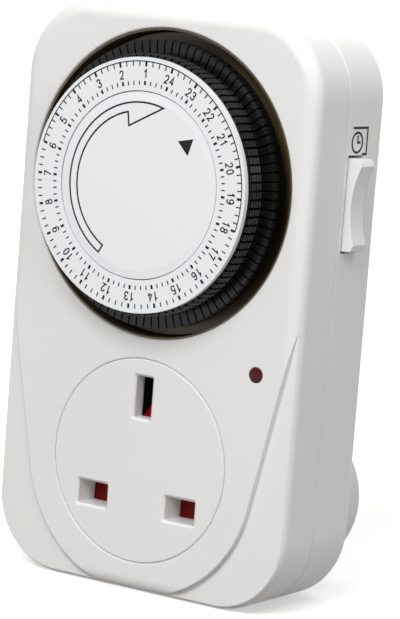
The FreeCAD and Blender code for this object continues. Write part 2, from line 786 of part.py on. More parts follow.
def neon_resistor():
    """The series resistor with its two stiff wires."""
    x = neon_x - lamp_radius / 2
    bar_front = tab_front - bar_thickness
    start = (lamp_back + bar_front - resistor_length) / 2
    end = start + resistor_length
    wires = rod(x, neon_z, thin_lead_radius, lamp_back, bar_front)
    return joined(wires, rod(x, neon_z, resistor_radius, start, end))


def neon_lead():
    """The neutral wire of the indicator, round the top of the contacts."""
    x = neon_x + lamp_radius / 2
    far = neutral_x - pin_width / 2 - tab_reach + thin_lead_inset
    depth = lamp_back + thin_lead_depth
    above = neon_z + thin_lead_rise
    places = [(x, neon_z, lamp_back), (x, neon_z, depth), (x, above, depth), (far, above, depth),
              (far, 0, depth), (far, 0, tab_front)]
    return lead(places, thin_lead_radius, thin_lead_bend)


def live_feed_bar():
    """The unswitched strip from the live pin to the switch block."""
    x0, x1 = switch_right_x - feed_half_width, switch_right_x + feed_half_width
    foot = block(live_x - bar_width, x1, -bar_width / 2, bar_width / 2, carrier_back, bar_back)
    riser = block(x0, x1, -bar_width / 2, switch_bottom_z, carrier_back, bar_back)
    top = block(x0, switch_right_x, switch_bottom_z - bar_thickness, switch_bottom_z,
                switch_back - feed_grip, bar_back)
    return joined(foot, riser, top)


def switched_live_bar():
    """The switched strip from the switch block to the live contact."""
    d1 = tab_front
    d0 = d1 - bar_thickness
    x0 = switch_left_x + bar_inset
    x1 = x0 + bar_width
    foot = block(live_x + pin_width / 2 - pin_grip, x1, -bar_width / 2, bar_width / 2, d0, d1)
    riser = block(x0, x1, -bar_width / 2, switch_bottom_z, d0, d1)
    return joined(foot, riser)


def motor_lead(side):
    """A motor wire: side 1 to the live feed strip, side -1 to the neutral contact."""
    a = math.radians(lead_live_angle if side > 0 else lead_neutral_angle)
    start, bend = motor_radius + lead_seat_gap, motor_radius + lead_stub
    x, z = rotor_x + start * math.cos(a), rotor_z + start * math.sin(a)
    out_x, out_z = rotor_x + bend * math.cos(a), rotor_z + bend * math.sin(a)
    if side > 0:
        depth = carrier_back - lead_radius - lead_bar_gap
        end_z = out_z - lead_live_drop
        places = [(x, z, depth), (out_x, out_z, depth), (switch_right_x, end_z, depth),
                  (switch_right_x, end_z, carrier_back)]
        return lead(places, lead_radius, lead_live_bend)
    depth = contact_front + lead_plate_gap
    tab_x = neutral_x - contact_half_width - cell_gap - cell_wall - lead_cell_gap - lead_radius
    places = [(x, z, depth), (out_x, out_z, depth), (tab_x, pin_pitch, depth), (tab_x, 0, depth),
              (tab_x, 0, tab_front)]
    return lead(places, lead_radius, lead_neutral_bend)


def dial_carrier():
    """The turning drum behind the scale; each tappet's tail runs in a slot of its flange."""
    r, t = carrier_radius, carrier_wall
    land = face_back
    web_front = land + web_gap
    web_back = web_front + carrier_web
    hub = spindle_bore + hub_wall
    land_inner = scale_inner_radius - land_overlap
    drum = turned([(spindle_bore, web_front), (land_inner, web_front), (land_inner, land),
                   (r, land), (r, flange_front),
                   (flange_radius, flange_front), (flange_radius, flange_back), (r, flange_back),
                   (r, gear_front), (r - t, gear_front), (r - t, web_back), (hub, web_back),
                   (hub, gear_front), (spindle_bore, gear_front)], 0, dial_z)
    g = tappet_gap
    w = column_width / 2 + g
    slot = block(column_inner_radius - g, column_outer_radius + g, -w, w, flange_front - past,
                 flange_back + past)
    return cut_all(drum, [on_dial(slot, i) for i in range(tappet_count)])


def on_dial(shape, index):
    """A copy of a piece drawn along +X from the axis, moved to one of the tappet places."""
    copy = shape.copy()
    turn = 90 + 360.0 / tappet_count * (index + 0.5)
    copy.rotate(point(0, 0, 0), FreeCAD.Vector(0, -1, 0), turn)
    copy.translate(FreeCAD.Vector(0, 0, dial_z))
    return copy


def tappet():
    """One tappet: a ribbed column, a foot that is pressed by a finger, and a tail."""
    top = face_back + column_top_gap
    a, b = column_inner_radius, column_outer_radius
    side = [(a, top), (b, top)]
    for place in grip_places:
        d = face_back + place
        side += [(b, d - grip_half_width), (b + grip_height, d), (b, d + grip_half_width)]
    side += [(b, tail_end), (a, tail_end)]
    face = Part.Face(Part.makePolygon([point(r, -column_width / 2, d) for r, d in side + side[:1]]))
    column = face.extrude(FreeCAD.Vector(0, 0, column_width))
    w0, w1 = foot_width_inner / 2, foot_width_outer / 2
    root = a + foot_root
    foot, crown = [prism([(root, -w0), (tip, -w1), (tip, w1), (root, w0)], d0, d1)
                   for tip, d0, d1 in ((foot_radius, foot_top + foot_bevel, foot_bottom),
                                       (foot_radius - foot_bevel, foot_top, foot_top + foot_bevel))]
    return joined(column, foot, crown)


def tappet_group(number):
    """The tappets of two hours."""
    one = tappet()
    first = number * tappets_per_group
    return Part.makeCompound([on_dial(one, first + i) for i in range(tappets_per_group)])


def dial_scale():
    return tube(0, dial_z, scale_inner_radius, scale_radius, -dial_proud, face_back)


def dial_gear():
    return gear(0, dial_z, dial_teeth, dial_module, gear_front, gear_back, spindle_bore, train_angle)


def centre_disc():
    """The fixed printed disc, held by a stub in the spindle."""
    front, flat_front = disc_slope_drop - dial_proud, -dial_proud
    disc = rod(0, dial_z, centre_radius, front, face_back)
    crown = Part.makeCone(centre_radius - disc_slope_width, centre_radius, disc_slope_drop,
                          point(0, dial_z, flat_front), FreeCAD.Vector(0, 1, 0))
    stub = rod(0, dial_z, spindle_radius - disc_stub_inset, face_back, face_back + disc_stub_length)
    return joined(disc, crown, stub)


def well_liner():
    """The dark sleeve that lines the opening round the dial."""
    return tube(0, dial_z, dial_opening_radius - liner_gap - liner_thickness,
                dial_opening_radius - liner_gap, rim_chamfer + liner_set_back, collar_depth)


def train_gear():
    """The compound gear: a pinion in the dial gear's plane and a wheel behind it."""
    bore = axle_radius + axle_gap
    half_pitch = 180.0 / dial_pinion_teeth
    pinion = gear(train_x, train_z, dial_pinion_teeth, dial_module, gear_front, wheel_front,
                  bore, train_angle + 180 + half_pitch)
    wheel = gear(train_x, train_z, wheel_teeth, train_module, wheel_front, wheel_back,
                 bore, train_angle + 180)
    return joined(pinion, wheel)


def train_axle():
    return rod(train_x, train_z, axle_radius, gear_front - axle_tip, plate_back)


def mechanism_plate():
    plate = rounded_block(0, (plate_top_z + plate_bottom_z) / 2, 2 * (inner_half - plate_gap),
                          plate_top_z - plate_bottom_z, plate_corner_radius, plate_front, plate_back)
    spindle = rod(0, dial_z, spindle_radius, face_back, plate_front)
    lug_x = follower_width / 2 + lug_gap
    lugs = [block(x, x + lug_thickness, follower_pivot_z - lug_half_height,
                  follower_pivot_z + lug_half_height, follower_axis - lug_front, plate_front)
            for x in (switch_x - lug_x - lug_thickness, switch_x + lug_x)]
    shoulder = rod(train_x, train_z, axle_radius + shoulder_width, wheel_back + shoulder_gap, plate_front)
    plate = joined(plate, spindle, shoulder, *lugs)
    rotor_tip = train_module * (rotor_teeth / 2 + tooth_addendum)
    stub_end = face_back + disc_stub_length + disc_stub_gap
    rocker_reach = rocker_half_length + rocker_room
    cutters = [rod(0, dial_z, spindle_radius - disc_stub_inset + disc_stub_gap, face_back - past, stub_end),
               rod(rotor_x, rotor_z, rotor_tip + rotor_hole_gap, plate_front - past, plate_back + past),
               rod(train_x, train_z, axle_radius, wheel_back, plate_back + past),
               rod(switch_x, switch_plunger_z, plunger_radius + plunger_plate_gap, plate_front - past,
                   plate_back + past),
               cross_rod(switch_x - lug_x - 2 * lug_thickness, switch_x + lug_x + 2 * lug_thickness,
                         follower_pivot_z, follower_axis, follower_pin_radius),
               block(rocker_inner_x - rocker_room / 2, half, rocker_z - rocker_reach,
                     rocker_z + rocker_reach, plate_front - past, plate_back + past)]
    cutters += [rod(x, z, small_screw_radius + thread_gap, plate_front - past, plate_back + past)
                for x, z in post_places]
    return cut_all(plate, cutters)


def motor_can():
    """A closed drum on the back of the plate, with a bearing hole at each end."""
    d0, d1, t = plate_back, plate_back + motor_length, motor_wall
    can = rod(rotor_x, rotor_z, motor_radius, d0, d1)
    room = rod(rotor_x, rotor_z, motor_radius - t, d0 + t, d1 - t)
    shaft = rod(rotor_x, rotor_z, axle_radius + axle_gap, d0 - past, d1 + past)
    return can.cut(room).cut(shaft)


def motor_coil():
    d0, d1, t = plate_back, plate_back + motor_length, motor_wall
    return tube(rotor_x, rotor_z, coil_inner_radius, motor_radius - t, d0 + t, d1 - t)


def motor_rotor():
    """The magnet drum on its shaft, with the output pinion in front of the plate."""
    d0, d1, t = plate_back, plate_back + motor_length, motor_wall
    magnet = rod(rotor_x, rotor_z, rotor_radius, d0 + t + rotor_end_gap, d1 - t - rotor_end_gap)
    shaft = rod(rotor_x, rotor_z, axle_radius, wheel_front, d1)
    half_pitch = 180.0 / rotor_teeth
    pinion = gear(rotor_x, rotor_z, rotor_teeth, train_module, wheel_front, wheel_back,
                  axle_radius / 2, train_angle + half_pitch)
    return joined(magnet, shaft, pinion)


def follower():
    """The lever whose nose lies behind the tappet tails."""
    w = follower_width / 2
    arm = block(switch_x - w, switch_x + w, follower_pivot_z - follower_tail, dial_z + nose_half_height,
                follower_front, follower_back)
    nose = side_prism([(follower_front, dial_z - nose_half_height), (nose_rest, dial_z - nose_half_tip),
                       (nose_rest, dial_z + nose_half_tip), (follower_front, dial_z + nose_half_height)],
                      switch_x - w, switch_x + w)
    eye = cross_rod(switch_x - w, switch_x + w, follower_pivot_z, follower_axis, follower_eye_radius)
    bore = cross_rod(switch_x - w - past, switch_x + w + past, follower_pivot_z, follower_axis,
                     follower_pin_radius + follower_pin_gap)
    return joined(arm, nose, eye).cut(bore)


def follower_pin():
    reach = follower_width / 2 + lug_gap + lug_thickness
    return cross_rod(switch_x - reach, switch_x + reach, follower_pivot_z, follower_axis,
                     follower_pin_radius)


def timer_switch():
    body = block(switch_left_x, switch_right_x, switch_bottom_z, switch_top_z, switch_front, switch_back)
    return body.cut(rod(switch_x, switch_plunger_z, plunger_radius + plunger_hole_gap,
                        switch_front - past, switch_front + plunger_room))


def timer_plunger():
    return rod(switch_x, switch_plunger_z, plunger_radius, follower_back + contact_play,
               switch_front + plunger_room - plunger_stroke)


def bypass_switch():
    body = block(switch_left_x, switch_right_x, switch_top_z, switch_top_z + bypass_height,
                 switch_front, switch_back)
    return body.cut(cross_rod(switch_right_x - plunger_room, switch_right_x + past, bypass_plunger_z,
                              bypass_plunger_depth, plunger_radius + plunger_hole_gap))


def bypass_plunger():
    return cross_rod(switch_right_x - plunger_room + bypass_plunger_stroke, rocker_inner_x - contact_play,
                     bypass_plunger_z, bypass_plunger_depth, plunger_radius)


def rocker():
    """The override rocker with its hollowed thumb face."""
    top, bottom = rocker_z + rocker_half_length, rocker_z - rocker_half_length
    hollow = half + rocker_hollow_proud
    top_x, bottom_x = half + rocker_top_proud, half + rocker_bottom_proud
    lip, bevel = rocker_lip, rocker_back_bevel
    arc = Part.Arc(point(top_x, top - lip, rocker_front), point(hollow, rocker_z, rocker_front),
                   point(bottom_x, bottom + lip, rocker_front)).toShape()
    rest = [(bottom_x, bottom + lip), (bottom_x - rocker_end_slope, bottom),
            (rocker_inner_x + bevel, bottom), (rocker_inner_x, bottom + bevel),
            (rocker_inner_x, top - bevel), (rocker_inner_x + bevel, top),
            (top_x - rocker_end_slope, top), (top_x, top - lip)]
    edges = [arc] + [Part.makeLine(point(a, b, rocker_front), point(c, d, rocker_front))
                     for (a, b), (c, d) in zip(rest, rest[1:])]
    body = Part.Face(Part.Wire(edges)).extrude(FreeCAD.Vector(0, rocker_width, 0))
    return body.cut(rod(rocker_pivot_x, rocker_z, axle_radius + axle_gap, rocker_front - past,
                        rocker_back_depth + past))


def rocker_pin():
    return rod(rocker_pivot_x, rocker_z, axle_radius, rocker_front - ear_gap - ear_thickness,
               rocker_back_depth + ear_gap + ear_thickness)


def case_screw(x, z):
    shank = rod(x, z, screw_radius, wall + screw_start, rear_depth - screw_head_height)
    head = rod(x, z, screw_head_radius, rear_depth - screw_head_height, rear_depth - screw_head_sink)
    a, b = cross_half_length, cross_half_width
    cross = [block(x - a, x + a, z - b, z + b, rear_depth - cross_depth, rear_depth),
             block(x - b, x + b, z - a, z + a, rear_depth - cross_depth, rear_depth)]
    return cut_all(joined(shank, head), cross)


def case_screws():
    return Part.makeCompound([case_screw(x, z) for x, z in screw_places])


def plate_screws():
    screws = []
    for x, z in post_places:
        shank = rod(x, z, small_screw_radius, plate_front - small_screw_bite, plate_back)
        screws.append(joined(shank, rod(x, z, small_head_radius, plate_back,
                                        plate_back + small_head_height)))
    return Part.makeCompound(screws)


def build():
    """Every piece by its name."""
    pieces = {
        "front_shell": front_shell(),
        "rear_shell": rear_shell(),
        "socket_face": socket_face(),
        "live_pin": plug_pin(live_x),
        "neutral_pin": plug_pin(neutral_x),
        "earth_pin": earth_pin(),
        "live_pin_sleeve": pin_sleeve(live_x),
        "neutral_pin_sleeve": pin_sleeve(neutral_x),
        "live_contact": flat_contact(live_x, 0),
        "neutral_contact": flat_contact(neutral_x, -tab_reach),
        "earth_contact": earth_contact(),
        "contact_carrier": contact_carrier(),
        "shutter": shutter(),
        "shutter_spring": shutter_spring(),
        "neon_lens": neon_lens(),
        "neon_lamp": neon_lamp(),
        "neon_resistor": neon_resistor(),
        "neon_lead": neon_lead(),
        "live_feed_bar": live_feed_bar(),
        "switched_live_bar": switched_live_bar(),
        "motor_lead_live": motor_lead(1),
        "motor_lead_neutral": motor_lead(-1),
        "mechanism_plate": mechanism_plate(),
        "centre_disc": centre_disc(),
        "well_liner": well_liner(),
        "dial_carrier": dial_carrier(),
        "dial_scale": dial_scale(),
        "dial_gear": dial_gear(),
        "train_gear": train_gear(),
        "train_axle": train_axle(),
        "motor_can": motor_can(),
        "motor_coil": motor_coil(),
        "motor_rotor": motor_rotor(),
        "follower": follower(),
        "follower_pin": follower_pin(),
        "timer_switch": timer_switch(),
        "timer_plunger": timer_plunger(),
        "bypass_switch": bypass_switch(),
        "bypass_plunger": bypass_plunger(),
        "rocker": rocker(),
        "rocker_pin": rocker_pin(),
        "case_screws": case_screws(),
        "plate_screws": plate_screws(),
    }
    for group in range(tappet_count // tappets_per_group):
        pieces["tappets_%02d" % (group + 1)] = tappet_group(group)
    return pieces


os.makedirs("parts", exist_ok=True)
for name, shape in build().items():
    if shape.isNull() or not shape.isValid():
        print("check", name)
    print(name, len(shape.Solids), round(shape.Volume, 2))
    shape.exportStep("parts/%s.step" % name)
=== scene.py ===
"""Looks of a plug-in timer switch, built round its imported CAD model."""
import bpy
import bmesh
import json
import math
from mathutils import Matrix, Vector


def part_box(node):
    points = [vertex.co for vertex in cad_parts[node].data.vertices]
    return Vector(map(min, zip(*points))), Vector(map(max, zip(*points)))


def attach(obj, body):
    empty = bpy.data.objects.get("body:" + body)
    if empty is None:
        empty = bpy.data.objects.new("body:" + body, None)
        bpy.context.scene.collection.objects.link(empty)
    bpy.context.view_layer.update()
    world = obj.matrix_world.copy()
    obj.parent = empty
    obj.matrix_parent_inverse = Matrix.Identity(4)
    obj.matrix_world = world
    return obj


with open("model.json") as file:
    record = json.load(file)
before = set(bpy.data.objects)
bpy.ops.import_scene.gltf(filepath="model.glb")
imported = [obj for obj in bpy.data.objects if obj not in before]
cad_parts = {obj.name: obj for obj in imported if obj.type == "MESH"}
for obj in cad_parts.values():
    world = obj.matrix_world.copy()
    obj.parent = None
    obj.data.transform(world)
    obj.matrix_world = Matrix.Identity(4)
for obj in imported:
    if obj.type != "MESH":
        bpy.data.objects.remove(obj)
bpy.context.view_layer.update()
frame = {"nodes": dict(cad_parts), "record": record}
nodes = frame["nodes"]
MM = 0.001

# Places read from the model
scale_low, scale_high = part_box("dial_scale")
disc_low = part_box("centre_disc")[0]
front_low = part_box("front_shell")[0]
rear_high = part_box("rear_shell")[1]
rocker_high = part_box("rocker")[1]
DIAL_X = (scale_low.x + scale_high.x) / 2
DIAL_Z = (scale_low.z + scale_high.z) / 2
DIAL_Y = scale_low.y
SIDE_X = rear_high.x
FRONT_Y = front_low.y

# Print on the dial
INK = 0.03 * MM                 # how far the ink stands on the plastic
INK_SINK = 0.02 * MM            # how far it reaches into it
INK_DEPTH = INK + INK_SINK
MITRE_LIMIT = 0.35              # least cosine that a line's corner is widened by
HOURS = 24
QUARTERS = 96
HOUR_ONE = 90.0                 # degrees; the hours run anticlockwise from the top
DIGIT_RADIUS = 22.85 * MM
DIGIT_HEIGHT = 1.66 * MM        # between the middles of the lines
DIGIT_WIDTH = 0.84 * MM
DIGIT_LINE = 0.27 * MM
DIGIT_STEP = 1.36 * MM          # from one digit to the next
INNER_TICK = (20.55 * MM, 21.4 * MM)
OUTER_TICK = (24.35 * MM, 25.3 * MM)
HOUR_TICK_WIDTH = 0.5 * MM
QUARTER_TICK_WIDTH = 0.25 * MM
NIGHT_LINE = (25.3 * MM, 25.52 * MM)
NIGHT_SPAN = (-15.0, 165.0)

# Print on the fixed disc
ARROW_LINE = 0.36 * MM
ARROW_OUTER = 17.05 * MM
ARROW_INNER = 15.25 * MM
ARROW_TAIL = 240.0
ARROW_TIP = 73.0
ARROW_NECK = 103.8
ARROW_BARB = (-3.2 * MM, 12.0 * MM)
POINTER = [(9.15 * MM, 10.05 * MM), (12.85 * MM, 10.85 * MM), (11.75 * MM, 7.3 * MM)]

# Clock mark above the rocker, as depth behind the front face and height above the rocker
MARK_FRONT = 14.6 * MM
MARK_BACK = 20.8 * MM
MARK_BOTTOM = 0.75 * MM
MARK_TOP = 6.2 * MM
MARK_LINE = 0.5 * MM
MARK_TOP_START = 0.5 * MM       # from the mark's front to the bracket's upper end
MARK_FOOT = 1.6 * MM            # length of the bracket's lower end
MARK_RING = 2.05 * MM           # radius of the clock's ring
MARK_RING_PLACE = (2.35 * MM, -0.3 * MM)    # behind the mark's front, and above its middle
MARK_HANDS = (1.3 * MM, 1.5 * MM)
MARK_PIVOT = 0.15 * MM          # from the ring's middle to where the hands meet

# Noise scales, in turns per metre
TONE_SCALE = 28.0
SHEEN_SCALE = 160.0
STAIN_SCALE = 220.0
DUST_SCALE = 900.0
TURN_SCALE = 900.0

# Strengths of the surface effects
STAIN_RANGE = (0.52, 0.75)      # noise values between which tarnish grows
STAIN_MOST = 0.55
LINE_SHEEN = 0.25               # how much the drawn lines change the roughness
COAT_ROUGHNESS = 0.15
CLEAR_COAT_ROUGHNESS = 0.05
TURN_DEPTH = 0.03 * MM

# Camera, fitted to the photograph, in degrees and metres
CAMERA_PLACE = (0.33850, -0.54017, 0.11991)
CAMERA_YAW = 33.250
CAMERA_PITCH = 7.410
CAMERA_ROLL = 4.504
FOCAL_PIXELS = 2919.37
FRAME_HEIGHT_PIXELS = 619
SENSOR = 36.0

# Light: name, place, target, size across and power
MIDDLE = (0, -0.03, 0.045)
LAMPS = [("key", (0.1, -0.9, 0.78), MIDDLE, 0.6, 9.2),
         ("edge", (0.8, -0.55, 0.3), MIDDLE, 0.22, 0.9),
         ("side", (0.24, -0.06, 0.33), (0.03, -0.03, 0.09), 0.15, 0.22),
         ("top", (0.1, 0.0, 1.0), MIDDLE, 0.5, 0.9),
         ("back", (-0.3, 0.95, 0.3), MIDDLE, 0.6, 2.4)]
WORLD_COLOUR = (1.0, 0.985, 0.955, 1)
WORLD_STRENGTH = 0.36

# Floor: its colour to the camera and to its own light, and its glow near and far
FLOOR_SEEN = (0.86, 0.86, 0.86, 1)
FLOOR_COLOUR = (0.22, 0.21, 0.2, 1)
FLOOR_GLOW = (0.46, 0.76)
FLOOR_GLOW_RADII = (0.3, 1.4)
FLOOR_REACH = 6.0
FLOOR_GAP = 0.05 * MM           # between the object's lowest point and the floor


def camera():
    yaw, pitch, roll = (math.radians(a) for a in (CAMERA_YAW, CAMERA_PITCH, CAMERA_ROLL))
    back = Vector((math.sin(yaw) * math.cos(pitch), -math.cos(yaw) * math.cos(pitch), math.sin(pitch)))
    level = Vector((math.cos(yaw), math.sin(yaw), 0))
    upright = back.cross(level)
    right = math.cos(roll) * level + math.sin(roll) * upright
    up = -math.sin(roll) * level + math.cos(roll) * upright
    data = bpy.data.cameras.new("camera")
    data.sensor_fit = "VERTICAL"
    data.sensor_height = SENSOR
    data.lens = FOCAL_PIXELS * SENSOR / FRAME_HEIGHT_PIXELS
    data.clip_start = 0.01
    data.clip_end = 20
    cam = bpy.data.objects.new("camera", data)
    bpy.context.scene.collection.objects.link(cam)
    turn = Matrix((right, up, back)).transposed().to_4x4()
    cam.matrix_world = Matrix.Translation(CAMERA_PLACE) @ turn
    bpy.context.scene.camera = cam


def area_light(name, place, aim, size, power):
    data = bpy.data.lights.new(name, "AREA")
    data.shape = "DISK"
    data.size = size
    data.energy = power
    lamp = bpy.data.objects.new(name, data)
    bpy.context.scene.collection.objects.link(lamp)
    lamp.location = place
    lamp.rotation_euler = (Vector(aim) - Vector(place)).to_track_quat("-Z", "Y").to_euler()


def seen_ray(tree):
    """One for rays that see the background directly, in a reflection or through glass."""
    path = tree.nodes.new("ShaderNodeLightPath")
    first = math_node(tree, "ADD", path.outputs["Is Camera Ray"], path.outputs["Is Glossy Ray"], True)
    return math_node(tree, "ADD", first, path.outputs["Is Transmission Ray"], True)


def studio():
    """A white floor and surround, one large key light and weak fills from the sides."""
    scene = bpy.context.scene
    scene.view_settings.view_transform = "Standard"
    world = bpy.data.worlds.new("surround")
    scene.world = world
    world.use_nodes = True
    tree = world.node_tree
    tree.nodes.clear()
    out = tree.nodes.new("ShaderNodeOutputWorld")
    seen = tree.nodes.new("ShaderNodeBackground")
    seen.inputs["Color"].default_value = (1, 1, 1, 1)
    soft = tree.nodes.new("ShaderNodeBackground")
    soft.inputs["Color"].default_value = WORLD_COLOUR
    soft.inputs["Strength"].default_value = WORLD_STRENGTH
    pick = tree.nodes.new("ShaderNodeMixShader")
    tree.links.new(seen_ray(tree), pick.inputs["Fac"])
    tree.links.new(soft.outputs[0], pick.inputs[1])
    tree.links.new(seen.outputs[0], pick.inputs[2])
    tree.links.new(pick.outputs[0], out.inputs["Surface"])
    for lamp in LAMPS:
        area_light(*lamp)
    mesh = bpy.data.meshes.new("floor")
    r, z = FLOOR_REACH, front_low.z - FLOOR_GAP
    corners = [(-r, -r, z), (r, -r, z), (r, r, z), (-r, r, z)]
    mesh.from_pydata(corners, [], [(0, 1, 2, 3)])
    floor = bpy.data.objects.new("floor", mesh)
    scene.collection.objects.link(floor)
    floor.data.materials.append(floor_material())


def floor_glow(tree):
    """How bright the floor glows to the camera: little by the object, so that its shadow stays."""
    length = tree.nodes.new("ShaderNodeVectorMath")
    length.operation = "LENGTH"
    tree.links.new(object_place(tree), length.inputs[0])
    spread = tree.nodes.new("ShaderNodeMapRange")
    spread.inputs["From Min"].default_value, spread.inputs["From Max"].default_value = FLOOR_GLOW_RADII
    spread.inputs["To Min"].default_value, spread.inputs["To Max"].default_value = FLOOR_GLOW
    tree.links.new(length.outputs["Value"], spread.inputs["Value"])
    return spread.outputs[0]


def diffuse(tree, colour):
    shader = tree.nodes.new("ShaderNodeBsdfDiffuse")
    shader.inputs["Color"].default_value = colour
    return shader.outputs[0]


def floor_material():
    """White to the camera, with the object's soft shadow, and a plain grey to its own light."""
    mat = bpy.data.materials.new("floor")
    mat.use_nodes = True
    tree = mat.node_tree
    tree.nodes.clear()
    out = tree.nodes.new("ShaderNodeOutputMaterial")
    glow = tree.nodes.new("ShaderNodeEmission")
    glow.inputs["Color"].default_value = (1, 1, 1, 1)
    tree.links.new(floor_glow(tree), glow.inputs["Strength"])
    both = tree.nodes.new("ShaderNodeAddShader")
    pick = tree.nodes.new("ShaderNodeMixShader")
    tree.links.new(diffuse(tree, FLOOR_SEEN), both.inputs[0])
    tree.links.new(glow.outputs[0], both.inputs[1])
    tree.links.new(seen_ray(tree), pick.inputs["Fac"])
    tree.links.new(diffuse(tree, FLOOR_COLOUR), pick.inputs[1])
    tree.links.new(both.outputs[0], pick.inputs[2])
    tree.links.new(pick.outputs[0], out.inputs["Surface"])
    return mat


# Shader groups shared by the materials


def new_group(name, inputs, outputs):
    """An empty node group with named sockets; returns its tree and end nodes."""
    tree = bpy.data.node_groups.new(name, "ShaderNodeTree")
    for label, kind, value in inputs:
        socket = tree.interface.new_socket(label, in_out="INPUT", socket_type="NodeSocket" + kind)
        if value is not None:
            socket.default_value = value
    for label, kind in outputs:
        tree.interface.new_socket(label, in_out="OUTPUT", socket_type="NodeSocket" + kind)
    return tree, tree.nodes.new("NodeGroupInput"), tree.nodes.new("NodeGroupOutput")


def math_node(tree, kind, a, b, clamp=False):
    """A Math node; a and b are sockets or numbers."""
    node = tree.nodes.new("ShaderNodeMath")
    node.operation = kind
    node.use_clamp = clamp
    for i, value in enumerate((a, b)):
        if isinstance(value, (int, float)):
            node.inputs[i].default_value = value
        else:
            tree.links.new(value, node.inputs[i])
    return node.outputs[0]


def noise(tree, vector, scale, detail=2.0, rough=0.5):
    node = tree.nodes.new("ShaderNodeTexNoise")
    node.inputs["Detail"].default_value = detail
    node.inputs["Roughness"].default_value = rough
    tree.links.new(vector, node.inputs["Vector"])
    if isinstance(scale, (int, float)):
        node.inputs["Scale"].default_value = scale
    else:
        tree.links.new(scale, node.inputs["Scale"])
    return node.outputs["Fac"]


def object_place(tree):
    return tree.nodes.new("ShaderNodeTexCoord").outputs["Object"]


def moulded_group():
    """Moulded plastic: slow tone drift, a fine eroded grain and its roughness."""
    tree, source, end = new_group(
        "moulded skin",
        [("Colour", "Color", None), ("Tone", "Float", 0.03), ("Grain Scale", "Float", 2500.0),
         ("Roughness", "Float", 0.4), ("Roughness Drift", "Float", 0.06)],
        [("Colour", "Color"), ("Roughness", "Float"), ("Grain", "Float")])
    place = object_place(tree)
    slow = noise(tree, place, TONE_SCALE, 3.0)
    fine = noise(tree, place, source.outputs["Grain Scale"], 1.0)
    centred = math_node(tree, "SUBTRACT", slow, 0.5)
    drift = math_node(tree, "MULTIPLY", centred, source.outputs["Tone"])
    factor = math_node(tree, "ADD", drift, 1.0)
    toned = tree.nodes.new("ShaderNodeVectorMath")
    toned.operation = "SCALE"
    tree.links.new(source.outputs["Colour"], toned.inputs[0])
    tree.links.new(factor, toned.inputs["Scale"])
    tree.links.new(toned.outputs[0], end.inputs["Colour"])
    mid = noise(tree, place, SHEEN_SCALE, 2.0)
    swing = math_node(tree, "MULTIPLY", math_node(tree, "SUBTRACT", mid, 0.5),
                      source.outputs["Roughness Drift"])
    rough = math_node(tree, "ADD", source.outputs["Roughness"], swing, clamp=True)
    tree.links.new(rough, end.inputs["Roughness"])
    tree.links.new(fine, end.inputs["Grain"])
    return tree


def brushed_group():
    """Drawn or rolled metal: fine lines along one axis, with a little tarnish."""
    tree, source, end = new_group(
        "drawn metal",
        [("Colour", "Color", None), ("Tarnish", "Color", None), ("Stretch", "Vector", None),
         ("Roughness", "Float", 0.3)],
        [("Colour", "Color"), ("Roughness", "Float"), ("Lines", "Float")])
    place = object_place(tree)
    stretch = tree.nodes.new("ShaderNodeVectorMath")
    stretch.operation = "MULTIPLY"
    tree.links.new(place, stretch.inputs[0])
    tree.links.new(source.outputs["Stretch"], stretch.inputs[1])
    lines = noise(tree, stretch.outputs[0], 1.0, 3.0)
    stain = noise(tree, place, STAIN_SCALE, 4.0, 0.6)
    ramp = tree.nodes.new("ShaderNodeMapRange")
    ramp.inputs["From Min"].default_value = STAIN_RANGE[0]
    ramp.inputs["From Max"].default_value = STAIN_RANGE[1]
    ramp.inputs["To Max"].default_value = STAIN_MOST
    tree.links.new(stain, ramp.inputs["Value"])
    mix = tree.nodes.new("ShaderNodeMix")
    mix.data_type = "RGBA"
    tree.links.new(ramp.outputs[0], mix.inputs["Factor"])
    tree.links.new(source.outputs["Colour"], mix.inputs["A"])
    tree.links.new(source.outputs["Tarnish"], mix.inputs["B"])
    tree.links.new(mix.outputs["Result"], end.inputs["Colour"])
    swing = math_node(tree, "MULTIPLY", math_node(tree, "SUBTRACT", lines, 0.5), LINE_SHEEN)
    rough = math_node(tree, "ADD", source.outputs["Roughness"], swing, clamp=True)
    tree.links.new(rough, end.inputs["Roughness"])
    tree.links.new(lines, end.inputs["Lines"])
    return tree


def dust_group():
    """Pale dust on faces that look up, broken by noise."""
    tree, source, end = new_group(
        "settled dust",
        [("Colour", "Color", None), ("Dust Colour", "Color", None), ("Amount", "Float", 0.1)],
        [("Colour", "Color"), ("Mask", "Float")])
    normal = tree.nodes.new("ShaderNodeNewGeometry").outputs["Normal"]
    split = tree.nodes.new("ShaderNodeSeparateXYZ")
    tree.links.new(normal, split.inputs[0])
    up = math_node(tree, "MAXIMUM", split.outputs["Z"], 0.0)
    patch = noise(tree, object_place(tree), DUST_SCALE, 4.0, 0.7)
    speck = math_node(tree, "MULTIPLY", patch, up)
    mask = math_node(tree, "MULTIPLY", speck, source.outputs["Amount"], clamp=True)
    mix = tree.nodes.new("ShaderNodeMix")
    mix.data_type = "RGBA"
    tree.links.new(mask, mix.inputs["Factor"])
    tree.links.new(source.outputs["Colour"], mix.inputs["A"])
    tree.links.new(source.outputs["Dust Colour"], mix.inputs["B"])
    tree.links.new(mix.outputs["Result"], end.inputs["Colour"])
    tree.links.new(mask, end.inputs["Mask"])
    return tree


GROUPS = {"moulded": moulded_group(), "brushed": brushed_group(), "dust": dust_group()}


def place_group(tree, kind, values):
    node = tree.nodes.new("ShaderNodeGroup")
    node.node_tree = GROUPS[kind]
    for label, value in values.items():
        node.inputs[label].default_value = value
    return node


def bare_material(name):
    mat = bpy.data.materials.new(name)
    mat.use_nodes = True
    tree = mat.node_tree
    return mat, tree, tree.nodes["Principled BSDF"]


